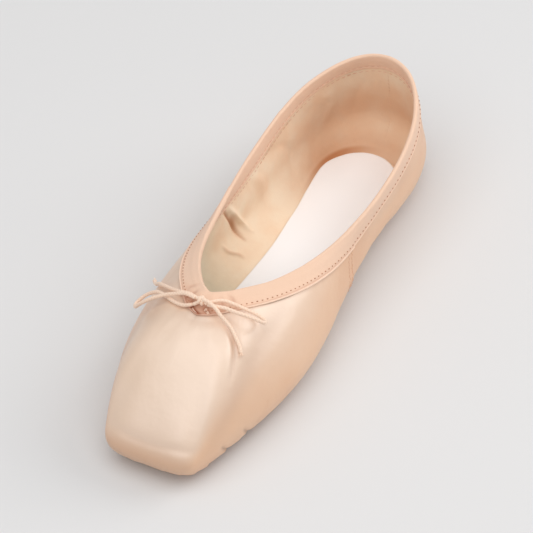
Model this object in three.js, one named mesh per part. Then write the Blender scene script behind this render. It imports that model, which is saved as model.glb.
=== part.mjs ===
// A demi pointe shoe for ballet: a soft satin upper with a squared toe, a folded binding that holds the
// drawstring, a tape over the back seam, a leather sole, an insole board and the bow of the drawstring.
// Millimetres, +Z up. The toe points to -Y, and the origin is on the floor under the middle of the shoe.
import * as THREE from "three";
import { mergeVertices } from "three/addons/utils/BufferGeometryUtils.js";

// Sizes of the last
const shoeLength = 236;
const ballWidth = 74.6;
const waistWidth = 58;
const heelWidth = 60;
const platformWidth = 43;
const platformHeight = 21;
const throatFromToe = 62;
const throatHeight = 54;
const sideHeight = 41;
const heelHeight = 53;
const collarWidth = 64;
const throatWidth = 36;
const girthHeight = 14.5;

// Sizes of the sole
const soleBallWidth = 49;
const soleWaistWidth = 29;
const soleHeelWidth = 40;
const soleFromToe = 44;
const soleFromHeel = 15;
const archRise = 3;
const archFrom = 0.42;
const archTo = 0.78;
const frontSpring = 1.2;
const frontSpringLength = 14;

// Height of the wall's foot above the sole, under the toe and round the rest
const toeLift = 2.4;
const wallLift = 3.6;

// Thicknesses, and the clearance that touching pieces keep
const gap = 0.3;
const upperWall = 1.5;
const soleThickness = 2.2;
const soleBevel = 0.6;
const insoleThickness = 1.6;
const insoleBevel = 0.4;
const bindingThickness = 0.8;
const tapeThickness = 0.6;
const seamStep = 0.6;
const pleatHeight = 0.8;
const cordDiameter = 1.6;

// Laps and widths of the smaller pieces
const marginLap = 6;
const insoleInset = 2.2;
const bindingOutside = 9;
const bindingInside = 7;
const tapeWidth = 17;
const tapeNeck = 10;
const knotLength = 5;
const knotWidth = 4.2;
const knotHeight = 3.4;

// Where the side seam and the toe's pleats are, counted in ribs from the toe, and how much of the seam's
// step the binding draws in
const seamPlace = 8.5;
const seamHalf = 0.02;
const drawnIn = 0.6;
const pleatEnd = 5.3;
const pleatTop = 2.4;
const pleatsPerRib = 1.5;

// Levels on the back tape: how far from the sole's outline it starts, and where its neck ends
const stripGap = 0.16;
const neckLevel = 1.5;

const soleTop = soleThickness + gap;
const heelBack = shoeLength - gap - tapeThickness;
const soleLength = heelBack - soleFromToe - soleFromHeel;
const collarLength = heelBack - throatFromToe;
const ball = ballWidth / 2 - seamStep;
const waist = waistWidth / 2;
const heel = heelWidth / 2;
const platform = platformWidth / 2 - seamStep;
const collar = collarWidth / 2;
const throat = throatWidth / 2;
const soleBall = soleBallWidth / 2;
const soleWaist = soleWaistWidth / 2;
const soleHeel = soleHeelWidth / 2;
const face = (platformHeight - girthHeight) / (throatHeight - girthHeight);

// Ribs of the last on the +X side, from the toe to the heel. A rib's line runs from the sole's outline round
// the foot of the wall and over the widest line up to the collar. The first table has its lower part.
//  widest, half: the widest line, as a share of the length, and its half width.
//  soleAt, sole: the sole's outline, as a share of the sole's length, and its half width.
//  foot, lift: where the wall turns under, as a share of the way in to the sole, and how far over it.
const lowerColumns = ["widest", "half", "soleAt", "sole", "foot", "lift"];
const lowerRibs = [
  [0, 0, 0, 0, 0.08, toeLift],
  [0.0017, 0.64 * platform, 0.001, 0.2 * soleBall, 0.08, toeLift],
  [0.017, 0.98 * platform, 0.007, 0.41 * soleBall, 0.09, toeLift],
  [0.066, 0.66 * ball, 0.023, 0.58 * soleBall, 0.12, toeLift],
  [0.136, 0.795 * ball, 0.057, 0.73 * soleBall, 0.17, toeLift],
  [0.221, 0.92 * ball, 0.114, 0.89 * soleBall, 0.25, toeLift],
  [0.315, ball, 0.2, soleBall, 0.32, 0.7 * wallLift],
  [0.408, 0.98 * ball, 0.307, soleBall, 0.36, 0.8 * wallLift],
  [0.502, 0.89 * ball, 0.42, 0.84 * soleBall, 0.4, 0.9 * wallLift],
  [0.604, 1.035 * waist, 0.557, 1.06 * soleWaist, 0.42, wallLift],
  [0.702, 0.99 * waist, 0.676, soleWaist, 0.42, wallLift],
  [0.8, 0.985 * heel, 0.795, 0.9 * soleHeel, 0.42, wallLift],
  [0.88, 0.955 * heel, 0.898, soleHeel, 0.42, wallLift],
  [0.953, 0.755 * heel, 0.96, 0.74 * soleHeel, 0.42, wallLift],
  [0.991, 0.4 * heel, 0.991, 0.38 * soleHeel, 0.42, wallLift],
  [1, 0, 1, 0, 0.42, wallLift],
];

// The upper part of the same ribs.
//  rimAt, rim, rimUp: the collar, as a share of its length, its half width, and its share of the rise from
//  the side's height to the throat's or the heel's.
//  shoulder, shoulderUp, crest, crestUp: two points on the way from the widest line to the collar, as shares
//  of that way in plan and in height.
const upperColumns = ["rimAt", "rim", "rimUp", "shoulder", "shoulderUp", "crest", "crestUp"];
const upperRibs = [
  [0, 0, 1, 0.05, face, 0.5, 0.76],
  [0.004, 0.155 * throat, 1, 0.05, face, 0.5, 0.76],
  [0.016, 0.32 * throat, 0.93, 0.06, face, 0.46, 0.77],
  [0.04, 0.52 * throat, 0.87, 0.06, 0.38, 0.38, 0.79],
  [0.08, 0.75 * throat, 0.73, 0.08, 0.48, 0.43, 0.82],
  [0.135, throat, 0.53, 0.13, 0.5, 0.48, 0.83],
  [0.205, 0.7 * collar, 0.33, 0.2, 0.48, 0.58, 0.82],
  [0.285, 0.81 * collar, 0.13, 0.22, 0.48, 0.61, 0.8],
  [0.375, 0.905 * collar, 0.02, 0.24, 0.48, 0.64, 0.8],
  [0.48, 0.975 * collar, 0, 0.26, 0.45, 0.66, 0.76],
  [0.59, collar, 0.08, 0.28, 0.4, 0.68, 0.72],
  [0.705, 0.98 * collar, 0.3, 0.28, 0.38, 0.68, 0.7],
  [0.815, 0.87 * collar, 0.56, 0.28, 0.36, 0.68, 0.68],
  [0.91, 0.625 * collar, 0.8, 0.3, 0.36, 0.68, 0.68],
  [0.965, 0.33 * collar, 0.94, 0.3, 0.36, 0.68, 0.68],
  [0.983, 0, 1, 0.3, 0.36, 0.68, 0.68],
];
const columns = [...lowerColumns, ...upperColumns];
const ribs = lowerRibs.map((row, rib) => [...row, ...upperRibs[rib]]);
const lastRib = ribs.length - 1;
const sideways = ["half", "sole", "rim"];
const lowestRib = 9;
const columnsPerRib = 3;

// The levels of a rib's line: its own points, counted from the turned-under edge
const edge = 0;
const soleLine = 1;
const footLine = 2;
const widestLine = 3;
const collarLine = 6;

// A smooth curve through four numbers, from the second to the third
function curveThrough(p0, p1, p2, p3, f) {
  const b = p2 - p0;
  const c = 2 * p0 - 5 * p1 + 4 * p2 - p3;
  const d = 3 * p1 - p0 - 3 * p2 + p3;
  return 0.5 * (2 * p1 + f * (b + f * (c + f * d)));
}

// The table between its rows. Past either end it mirrors, so the two halves of the shoe join smoothly.
function ribAt(place) {
  const row = Math.min(Math.floor(place), lastRib - 1);
  const value = (at, name) => {
    const inside = at < 0 ? -at : Math.min(at, 2 * lastRib - at);
    const number = ribs[inside][columns.indexOf(name)];
    return inside !== at && sideways.includes(name) ? -number : number;
  };
  const made = {};
  for (const name of columns) {
    const near = [-1, 0, 1, 2].map((step) => value(row + step, name));
    made[name] = curveThrough(...near, place - row);
  }
  return made;
}

// Places count ribs once round the shoe, over the heel and back to the toe.
function unwrap(place) {
  const round = 2 * lastRib;
  const wrapped = ((place % round) + round) % round;
  return wrapped > lastRib ? { side: -1, at: round - wrapped } : { side: 1, at: wrapped };
}

// The sole is flat under the ball and the heel, arched between them, and turns up a little at its front.
function riseAt(along) {
  const inArch = THREE.MathUtils.clamp((along / shoeLength - archFrom) / (archTo - archFrom), 0, 1);
  const toFront = (soleFromToe + frontSpringLength - along) / frontSpringLength;
  const front = THREE.MathUtils.clamp(toFront, 0, 1);
  return archRise * Math.sin(Math.PI * inArch) ** 2 + frontSpring * front ** 2;
}

function soleLineAt(place) {
  const { side, at } = unwrap(place);
  const rib = ribAt(at);
  return new THREE.Vector2(side * rib.sole, soleFromToe + rib.soleAt * soleLength);
}

// The sole's outline, moved in by an inset, as a point with its distance along the shoe.
function outline(place, inset) {
  const step = 0.05;
  const run = soleLineAt(place + step).sub(soleLineAt(place - step)).normalize();
  return soleLineAt(place).add(new THREE.Vector2(-run.y, run.x).multiplyScalar(inset));
}

// The points that a rib's line runs through
function ribPoints(place) {
  const { side, at } = unwrap(place);
  const rib = ribAt(at);
  const peak = at < lowestRib ? throatHeight : heelHeight;
  const widestAt = THREE.MathUtils.lerp(seamStep, heelBack, rib.widest);
  const widest = new THREE.Vector2(side * rib.half, widestAt);
  const sole = soleLineAt(place);
  const margin = outline(place, marginLap);
  const foot = widest.clone().lerp(sole, rib.foot);
  const rim = new THREE.Vector2(side * rib.rim, throatFromToe + rib.rimAt * collarLength);
  const rimZ = sideHeight + rib.rimUp * (peak - sideHeight);
  const point = (p, z) => new THREE.Vector3(p.x, p.y - shoeLength / 2, z);
  const toRim = (share, up) => {
    return point(widest.clone().lerp(rim, share), THREE.MathUtils.lerp(girthHeight, rimZ, up));
  };
  return [
    point(margin, soleTop + riseAt(margin.y)),
    point(sole, soleTop + riseAt(sole.y)),
    point(foot, soleTop + riseAt(foot.y) + rib.lift),
    point(widest, girthHeight),
    toRim(rib.shoulder, rib.shoulderUp),
    toRim(rib.crest, rib.crestUp),
    point(rim, rimZ),
  ];
}

// A point of the last's surface. The turned-under margin is flat, and from the sole's outline up it curves.
function last(place, up) {
  const p = ribPoints(place);
  if (up < soleLine) {
    return p[edge].lerp(p[soleLine], up);
  }
  const curve = new THREE.CatmullRomCurve3(p.slice(soleLine), false, "centripetal");
  return curve.getPoint((up - soleLine) / (collarLine - soleLine));
}

function lastNormal(place, up) {
  const step = 0.02;
  const round = last(place + step, up).sub(last(place - step, up));
  const rise = last(place, Math.min(up + step, collarLine)).sub(last(place, Math.max(up - step, edge)));
  return round.cross(rise).normalize();
}

// Pleats gather the satin under the toe: highest at the wall's foot, gone at the sole and just above.
function pleatAt(place, up) {
  const { at } = unwrap(place);
  const share = (up - soleLine) / (pleatTop - soleLine);
  if (at > pleatEnd || share < 0 || share > 1) {
    return 0;
  }
  const wave = Math.cos(2 * Math.PI * pleatsPerRib * at);
  return 0.5 * pleatHeight * Math.min(1, pleatEnd - at) * wave * Math.sin(Math.PI * share);
}

// The vamp laps over the quarter at the side seam, so its wall is a step thicker from there to the toe. The
// step is less where the binding draws both layers in.
function stepAt(place, up) {
  const { at } = unwrap(place);
  const over = THREE.MathUtils.clamp((seamPlace + seamHalf - at) / (2 * seamHalf), 0, 1);
  const under = THREE.MathUtils.clamp(up - soleLine, 0, 1);
  const drawn = THREE.MathUtils.smoothstep(up, widestLine, collarLine);
  return seamStep * over * under * (1 - drawnIn * drawn);
}

function outside(place, up, distance) {
  const out = distance + stepAt(place, up) + pleatAt(place, up);
  return last(place, up).addScaledVector(lastNormal(place, up), out);
}

function inside(place, up, distance) {
  return last(place, up).addScaledVector(lastNormal(place, up), -upperWall - distance);
}

// The level on a rib that lies a distance below the collar, measured along the surface.
function below(place, distance) {
  const step = 0.02;
  let up = collarLine;
  let walked = 0;
  while (walked < distance && up > widestLine) {
    walked += last(place, up).distanceTo(last(place, up - step));
    up -= step;
  }
  return up;
}

function sharesOf(from, to, count) {
  return Array.from({ length: count }, (_, k) => from + ((to - from) * (k + 1)) / count);
}

// Columns of the upper and its binding: evenly between the ribs, with a close pair at each side seam.
function placesRound() {
  const round = 2 * lastRib;
  const even = Array.from({ length: round * columnsPerRib }, (_, k) => k / columnsPerRib);
  const seams = [seamPlace, round - seamPlace];
  const away = even.filter((place) => seams.every((seam) => Math.abs(place - seam) > 0.1));
  const pairs = seams.flatMap((seam) => [seam - seamHalf, seam + seamHalf]);
  return [...away, ...pairs].sort((a, b) => a - b);
}

// One closed solid from loops of points. Neighbouring loops are joined, and the row of loops either closes
// on itself or ends in caps. The faces are turned so that they point out.
function solidFrom(loops, { ring = false } = {}) {
  const size = loops[0].length;
  const points = loops.flat();
  const faces = [];
  const quad = (a, b, c, d) => faces.push([a, b, c], [a, c, d]);
  const spans = ring ? loops.length : loops.length - 1;
  for (let row = 0; row < spans; row += 1) {
    const here = row * size;
    const next = ((row + 1) % loops.length) * size;
    for (let k = 0; k < size; k += 1) {
      const after = (k + 1) % size;
      quad(here + k, here + after, next + after, next + k);
    }
  }
  if (!ring) {
    const end = (loops.length - 1) * size;
    for (let k = 0; k < size / 2 - 1; k += 1) {
      quad(size - 1 - k, size - 2 - k, k + 1, k);
      quad(end + k, end + k + 1, end + size - 2 - k, end + size - 1 - k);
    }
  }
  const loose = new THREE.BufferGeometry().setFromPoints(points);
  loose.setIndex(faces.flat());
  const joined = mergeVertices(loose, 1e-4);
  const index = Array.from(joined.index.array);
  const kept = [];
  for (let k = 0; k < index.length; k += 3) {
    const [a, b, c] = index.slice(k, k + 3);
    if (a !== b && b !== c && c !== a) {
      kept.push([a, b, c]);
    }
  }
  const at = (k) => new THREE.Vector3().fromBufferAttribute(joined.attributes.position, k);
  const volume = kept.reduce((sum, [a, b, c]) => sum + at(a).dot(at(b).cross(at(c))), 0);
  joined.setIndex(kept.flatMap(([a, b, c]) => (volume > 0 ? [a, b, c] : [a, c, b])));
  joined.computeVertexNormals();
  return joined;
}

// The upper's levels on one rib. The last two spans are what the binding covers outside.
function levelsAt(place) {
  const underBinding = below(place, bindingOutside + gap);
  return [
    edge,
    ...sharesOf(edge, soleLine, 1),
    ...sharesOf(soleLine, footLine, 3),
    ...sharesOf(footLine, widestLine, 2),
    ...sharesOf(widestLine, underBinding, 5),
    ...sharesOf(underBinding, collarLine, 2),
  ];
}

function upperSolid() {
  return solidFrom(placesRound().map((place) => {
    const levels = levelsAt(place);
    return [
      ...levels.map((up) => outside(place, up, 0)),
      ...levels.reverse().map((up) => inside(place, up, 0)),
    ];
  }), { ring: true });
}

// A folded tape over the collar, on the upper's own levels: up the outside, over the edge, down the inside.
function bindingSolid() {
  const near = gap;
  const far = gap + bindingThickness;
  const span = 0.5 * (bindingOutside + gap);
  return solidFrom(placesRound().map((place) => {
    const [low, middle] = levelsAt(place).slice(-3);
    const up = last(place, collarLine).sub(last(place, collarLine - 0.02)).normalize();
    const over = (point, distance) => point.addScaledVector(up, distance);
    const hem = (side, depth, distance) => {
      const share = (2 * span - depth) / span;
      return side(place, low, distance).lerp(side(place, middle, distance), share);
    };
    return [
      hem(outside, bindingOutside, near),
      outside(place, middle, near),
      over(outside(place, collarLine, near), near),
      over(inside(place, collarLine, near), near),
      inside(place, middle, near),
      hem(inside, bindingInside, near),
      hem(inside, bindingInside, far),
      inside(place, middle, far),
      inside(place, collarLine, far),
      over(inside(place, collarLine, 0), far),
      over(outside(place, collarLine, 0), far),
      outside(place, collarLine, far),
      outside(place, middle, far),
      hem(outside, bindingOutside, far),
    ];
  }), { ring: true });
}

// A flat piece that follows the sole's outline. Its side runs through the edge's insets and heights.
function plate(inset, bottom, side) {
  const places = Array.from({ length: lastRib * columnsPerRib + 1 }, (_, k) => k / columnsPerRib);
  return solidFrom(places.map((place) => {
    const level = ([more, height]) => {
      const p = outline(place, inset + more);
      return new THREE.Vector3(Math.abs(p.x), p.y - shoeLength / 2, bottom + riseAt(p.y) + height);
    };
    const right = side.map(level);
    const left = side.map(level).reverse();
    return [...right, ...left.map((p) => p.setX(-p.x))];
  }));
}

function outsoleSolid() {
  return plate(0, 0, [[soleBevel, 0], [0, soleBevel], [0, soleThickness]]);
}

function insoleSolid() {
  const side = [[0, 0], [0, insoleThickness - insoleBevel], [insoleBevel, insoleThickness]];
  return plate(insoleInset, soleTop + upperWall + gap, side);
}

// The place on a level near the heel where the surface is a distance sideways from the back seam.
function besideSeam(up, sideways) {
  let near = lastRib;
  let far = lastRib - 4;
  for (let k = 0; k < 24; k += 1) {
    const middle = 0.5 * (near + far);
    if (last(middle, up).x < Math.abs(sideways)) {
      near = middle;
    } else {
      far = middle;
    }
  }
  return sideways < 0 ? 2 * lastRib - near : near;
}

// The tape over the back seam, on the upper's own levels: from the binding down to the sole, where it
// narrows to a neck.
function backStripSolid() {
  const across = [-1, -0.6, -0.2, 0.2, 0.6, 1];
  const bottom = soleLine + stripGap;
  const top = below(lastRib, bindingOutside + 2 * gap);
  const levels = levelsAt(lastRib).filter((up) => up > bottom && up < top);
  return solidFrom([bottom, ...levels, top].map((up) => {
    const wide = THREE.MathUtils.smoothstep(up, neckLevel, widestLine);
    const half = 0.5 * THREE.MathUtils.lerp(tapeNeck, tapeWidth, wide);
    const places = across.map((share) => besideSeam(up, share * half));
    return [
      ...places.map((place) => outside(place, up, gap)),
      ...places.reverse().map((place) => outside(place, up, gap + tapeThickness)),
    ];
  }));
}

// The drawstring's bow on the throat. Each route starts at the knot; the loops come back to it.
const knotAt = [0.3, -63.3, 56.3];
const cordRoutes = {
  bow_loop_right: [
    [-2.4, -63.6, 57.0], [-7.4, -62.8, 56.6], [-13.0, -62.6, 54.1], [-18.0, -63.2, 51.8],
    [-23.5, -64.4, 48.5], [-28.6, -64.7, 43.9], [-32.2, -63.4, 39.4], [-33.5, -60.3, 38.1],
    [-30.6, -57.7, 41.4], [-24.8, -57.7, 46.0], [-19.6, -60.1, 48.5], [-15.6, -62.7, 50.2],
    [-11.3, -64.8, 51.6], [-7.1, -65.7, 52.7], [-3.1, -65.1, 54.2],
  ],
  bow_loop_left: [
    [3.3, -62.3, 55.6], [8.3, -60.8, 54.5], [13.1, -59.1, 52.2], [17.8, -57.5, 49.6],
    [21.9, -56.6, 47.8], [25.4, -57.3, 47.0], [26.7, -59.6, 47.9], [24.7, -61.8, 50.6],
    [20.6, -63.1, 52.4], [16.1, -64.3, 53.7], [11.4, -64.7, 54.4], [7.4, -64.8, 54.8],
    [3.3, -64.3, 56.0],
  ],
  bow_end_right: [
    [-2.6, -62.1, 55.5], [-7.3, -60.5, 54.8], [-11.9, -59.3, 52.8], [-16.8, -57.3, 50.4],
    [-22.0, -54.3, 47.4], [-27.6, -50.3, 43.2], [-31.6, -46.5, 38.2], [-33.9, -43.9, 36.7],
  ],
  bow_end_left: [
    [1.8, -65.8, 54.2], [6.0, -66.7, 52.9], [10.1, -67.0, 51.7], [13.7, -67.9, 50.8],
    [17.0, -69.5, 49.5], [19.5, -72.0, 47.7], [21.6, -74.5, 45.7], [24.3, -76.0, 43.3],
    [26.7, -76.7, 41.2],
  ],
};
const cordSides = 8;
const cordStep = 2 * cordDiameter;

function toPoint([x, y, z]) {
  return new THREE.Vector3(x, y, z);
}

// A round cord along its route, in steps of two diameters
function cordSolid(route) {
  const path = new THREE.CatmullRomCurve3(route.map(toPoint), false, "centripetal");
  const section = new THREE.Shape();
  for (let k = 0; k < cordSides; k += 1) {
    const turn = (2 * Math.PI * k) / cordSides;
    const draw = k ? "lineTo" : "moveTo";
    section[draw](0.5 * cordDiameter * Math.cos(turn), 0.5 * cordDiameter * Math.sin(turn));
  }
  const steps = Math.ceil(path.getLength() / cordStep);
  const tube = new THREE.ExtrudeGeometry(section, { steps, bevelEnabled: false, extrudePath: path });
  tube.deleteAttribute("normal");
  tube.deleteAttribute("uv");
  return mergeVertices(tube, 1e-4);
}

function knotSolid() {
  const ball = new THREE.SphereGeometry(0.5, 10, 7);
  ball.deleteAttribute("normal");
  ball.deleteAttribute("uv");
  const joined = mergeVertices(ball, 1e-4);
  joined.scale(knotLength, knotWidth, knotHeight);
  joined.translate(...knotAt);
  return joined;
}

const finishes = {
  satin: { color: "#eed9c7", roughness: 0.38, metalness: 0 },
  binding: { color: "#efcbb3", roughness: 0.75, metalness: 0 },
  tape: { color: "#e4c6ae", roughness: 0.5, metalness: 0 },
  leather: { color: "#af8764", roughness: 0.6, metalness: 0 },
  board: { color: "#fbf2ea", roughness: 0.85, metalness: 0 },
  cord: { color: "#f5d9c0", roughness: 0.6, metalness: 0 },
};

function piece(name, geometry, finish) {
  const mesh = new THREE.Mesh(geometry, new THREE.MeshStandardMaterial(finishes[finish]));
  mesh.name = name;
  return mesh;
}

const shoe = new THREE.Group();
shoe.add(
  piece("upper", upperSolid(), "satin"),
  piece("outsole", outsoleSolid(), "leather"),
  piece("insole", insoleSolid(), "board"),
  piece("collar_binding", bindingSolid(), "binding"),
  piece("back_strip", backStripSolid(), "tape"),
  piece("bow_knot", knotSolid(), "cord"),
);
for (const [name, route] of Object.entries(cordRoutes)) {
  shoe.add(piece(name, cordSolid(route), "cord"));
}

export default shoe;
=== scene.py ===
import math

import bpy
import numpy as np
from mathutils import Matrix, Vector


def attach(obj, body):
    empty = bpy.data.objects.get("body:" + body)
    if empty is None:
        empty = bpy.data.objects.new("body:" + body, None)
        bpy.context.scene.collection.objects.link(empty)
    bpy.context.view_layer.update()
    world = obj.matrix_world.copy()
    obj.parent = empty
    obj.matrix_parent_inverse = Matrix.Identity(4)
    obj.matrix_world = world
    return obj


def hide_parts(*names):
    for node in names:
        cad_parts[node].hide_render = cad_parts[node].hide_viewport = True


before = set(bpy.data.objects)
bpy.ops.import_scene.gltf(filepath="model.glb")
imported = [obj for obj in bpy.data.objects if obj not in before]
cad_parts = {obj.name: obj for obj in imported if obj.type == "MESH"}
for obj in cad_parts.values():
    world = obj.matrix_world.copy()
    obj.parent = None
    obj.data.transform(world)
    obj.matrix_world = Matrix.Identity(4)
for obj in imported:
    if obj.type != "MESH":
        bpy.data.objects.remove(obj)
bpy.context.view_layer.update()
scene = bpy.context.scene
dice = np.random.default_rng(4)
print("frame loaded:", len(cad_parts), "solids")


# the camera keeps the photo's angle to the shoe; degrees, and millimetres from the floor's middle
view = {
    "azimuth": 29.1, "elevation": 43.4, "roll": -2.66, "distance": 1390, "lens": 218, "aim": (-1.5, -4, 24),
}


def placeCamera():
    turn, lift = math.radians(view["azimuth"]), math.radians(view["elevation"])
    back = Vector((math.sin(turn) * math.cos(lift), -math.cos(turn) * math.cos(lift), math.sin(lift)))
    camera = bpy.data.objects.new("camera", bpy.data.cameras.new("camera"))
    scene.collection.objects.link(camera)
    aim = Vector(view["aim"]) / 1000
    facing = back.to_track_quat("Z", "Y").to_matrix().to_4x4()
    roll = Matrix.Rotation(math.radians(view["roll"]), 4, "Z")
    camera.matrix_world = Matrix.Translation(aim + back * view["distance"] / 1000) @ facing @ roll
    camera.data.lens = view["lens"]
    camera.data.clip_start = 0.1
    scene.camera = camera


placeCamera()
print("camera placed")


# small helpers for numbers that run over a surface
def ease(x, low, high):
    t = np.clip((x - low) / (high - low), 0, 1)
    return t * t * (3 - 2 * t)


def hill(x, middle, width):
    return np.exp(-(((x - middle) / width) ** 2))


def unit(v):
    return v / np.maximum(np.linalg.norm(v, axis=-1, keepdims=True), 1e-9)


def wander(x, length, seed, octaves=2):  # smooth seeded noise on a line, about -1 to 1
    tableSize, shift = 4096, 37.3
    table = np.random.default_rng(seed).uniform(-1, 1, tableSize)
    total, weight = np.zeros_like(x, dtype=float), 0
    for octave in range(octaves):
        at = x / length * 2**octave + shift * octave
        k = np.floor(at).astype(int)
        f = at - k
        f = f * f * (3 - 2 * f)
        total += (table[k % tableSize] * (1 - f) + table[(k + 1) % tableSize] * f) * 0.5**octave
        weight += 0.5**octave
    return total / weight


def walkAlong(points):  # how far along a line each of its points is
    return np.concatenate([[0], np.cumsum(np.linalg.norm(np.diff(points, axis=0), axis=1))])


def readAt(at, known, rows, period=None):  # each column of rows, known at some places, read at others
    return np.stack([np.interp(at, known, column, period=period) for column in rows.T], -1)


# sizes of the last, in millimetres, and the places along and up its ribs that the work needs
shoe = {
    "length": 236, "ballWidth": 74.6, "waistWidth": 58, "heelWidth": 60,
    "platformWidth": 43, "platformHeight": 21, "throatFromToe": 62, "throatHeight": 54,
    "sideHeight": 41, "heelHeight": 53, "collarWidth": 64, "throatWidth": 36, "girthHeight": 14.5,
    "wall": 1.5, "gap": 0.3, "tape": 0.6, "toeLift": 2.4, "wallLift": 3.6, "marginLap": 6,
    "peakPlace": 9, "rimThinning": 0.3, "thinFrom": 1.5, "thinTo": 9,
    "bindingDepth": [(0, 11.8), (1.2, 11.4), (2.5, 11.0), (4.5, 10.4), (7, 9.2), (9, 9.0), (15, 9.0)],
}
sole = {
    "ballWidth": 49, "waistWidth": 29, "heelWidth": 40, "fromToe": 44, "fromHeel": 15,
    "archRise": 3, "archFrom": 0.42, "archTo": 0.78, "frontSpring": 1.2, "springLength": 14, "thickness": 2.2,
}
seam = {"step": 0.6, "place": 8.5, "width": 0.028, "roll": 0.12, "rollWidth": 0.03, "drawnIn": 0.6}
heelBack = shoe["length"] - shoe["gap"] - shoe["tape"]
soleTop = sole["thickness"] + shoe["gap"]
soleLength = heelBack - sole["fromToe"] - sole["fromHeel"]


def ribTable():
    ball, platform = (shoe[name + "Width"] / 2 - seam["step"] for name in ("ball", "platform"))
    waist, heel, collar, throat = (shoe[name + "Width"] / 2 for name in ("waist", "heel", "collar", "throat"))
    ballSole, waistSole, heelSole = (sole[name + "Width"] / 2 for name in ("ball", "waist", "heel"))
    toe, wall = shoe["toeLift"], shoe["wallLift"]
    front = (shoe["platformHeight"] - shoe["girthHeight"]) / (shoe["throatHeight"] - shoe["girthHeight"])
    lower = [  # widest line and its half width, sole line and its half width, the wall's foot and its lift
        [0, 0, 0, 0, 0.08, toe],
        [0.0017, 0.64 * platform, 0.001, 0.2 * ballSole, 0.08, toe],
        [0.017, 0.98 * platform, 0.007, 0.41 * ballSole, 0.09, toe],
        [0.066, 0.66 * ball, 0.023, 0.58 * ballSole, 0.12, toe],
        [0.136, 0.795 * ball, 0.057, 0.73 * ballSole, 0.17, toe],
        [0.221, 0.92 * ball, 0.114, 0.89 * ballSole, 0.25, toe],
        [0.315, ball, 0.2, ballSole, 0.32, 0.7 * wall],
        [0.408, 0.98 * ball, 0.307, ballSole, 0.36, 0.8 * wall],
        [0.502, 0.89 * ball, 0.42, 0.84 * ballSole, 0.4, 0.9 * wall],
        [0.604, 1.035 * waist, 0.557, 1.06 * waistSole, 0.42, wall],
        [0.702, 0.99 * waist, 0.676, waistSole, 0.42, wall],
        [0.8, 0.985 * heel, 0.795, 0.9 * heelSole, 0.42, wall],
        [0.88, 0.955 * heel, 0.898, heelSole, 0.42, wall],
        [0.953, 0.755 * heel, 0.96, 0.74 * heelSole, 0.42, wall],
        [0.991, 0.4 * heel, 0.991, 0.38 * heelSole, 0.42, wall],
        [1, 0, 1, 0, 0.42, wall],
    ]
    upper = [  # collar, its half width and rise, then two points between the widest line and the collar
        [0, 0, 1, 0.05, front, 0.5, 0.76],
        [0.0065, 0.14 * throat, 1, 0.05, front, 0.5, 0.76],
        [0.021, 0.3 * throat, 0.93, 0.06, front, 0.46, 0.77],
        [0.046, 0.5 * throat, 0.87, 0.06, 0.38, 0.38, 0.79],
        [0.084, 0.74 * throat, 0.73, 0.08, 0.48, 0.43, 0.82],
        [0.135, throat, 0.53, 0.13, 0.5, 0.48, 0.83],
        [0.205, 0.7 * collar, 0.33, 0.2, 0.48, 0.58, 0.82],
        [0.285, 0.81 * collar, 0.13, 0.22, 0.48, 0.61, 0.8],
        [0.375, 0.905 * collar, 0.02, 0.24, 0.48, 0.64, 0.8],
        [0.48, 0.975 * collar, 0, 0.26, 0.45, 0.66, 0.76],
        [0.59, collar, 0.08, 0.28, 0.4, 0.68, 0.72],
        [0.705, 0.98 * collar, 0.3, 0.28, 0.38, 0.68, 0.7],
        [0.815, 0.87 * collar, 0.56, 0.28, 0.36, 0.68, 0.68],
        [0.91, 0.625 * collar, 0.8, 0.3, 0.36, 0.68, 0.68],
        [0.965, 0.33 * collar, 0.94, 0.3, 0.36, 0.68, 0.68],
        [0.983, 0, 1, 0.3, 0.36, 0.68, 0.68],
    ]
    return np.hstack([lower, upper])


ribs = ribTable()
lastRib = len(ribs) - 1
aroundAll = 2 * lastRib
mirrored = [1, 3, 7]  # half widths change sign past either end of the table


def ribValues(at):
    flipped = ribs.copy()
    flipped[:, mirrored] *= -1
    rows = np.vstack([flipped[1], ribs, flipped[-2]])
    k = np.minimum(np.floor(at).astype(int), lastRib - 1)
    f = (at - k)[:, None]
    a, b, c, d = (rows[k + step] for step in range(4))
    return 0.5 * (2 * b + f * (c - a + f * (2 * a - 5 * b + 4 * c - d + f * (3 * b - a - 3 * c + d))))


def unwrap(place):
    wrapped = np.mod(place, aroundAll)
    return np.where(wrapped > lastRib, -1.0, 1.0), np.where(wrapped > lastRib, aroundAll - wrapped, wrapped)


def soleRise(along):
    inArch = np.clip((along / shoe["length"] - sole["archFrom"]) / (sole["archTo"] - sole["archFrom"]), 0, 1)
    toFront = np.clip((sole["fromToe"] + sole["springLength"] - along) / sole["springLength"], 0, 1)
    return sole["archRise"] * np.sin(math.pi * inArch) ** 2 + sole["frontSpring"] * toFront**2


def soleOutline(place, inset=0.0):
    def line(p):
        side, at = unwrap(p)
        value = ribValues(at)
        return np.stack([side * value[:, 3], sole["fromToe"] + value[:, 2] * soleLength], -1)

    run = unit(line(place + 0.05) - line(place - 0.05))
    inward = np.stack([-run[:, 1], run[:, 0]], -1)
    return line(place) + inward * np.reshape(inset, (-1, 1))


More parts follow.
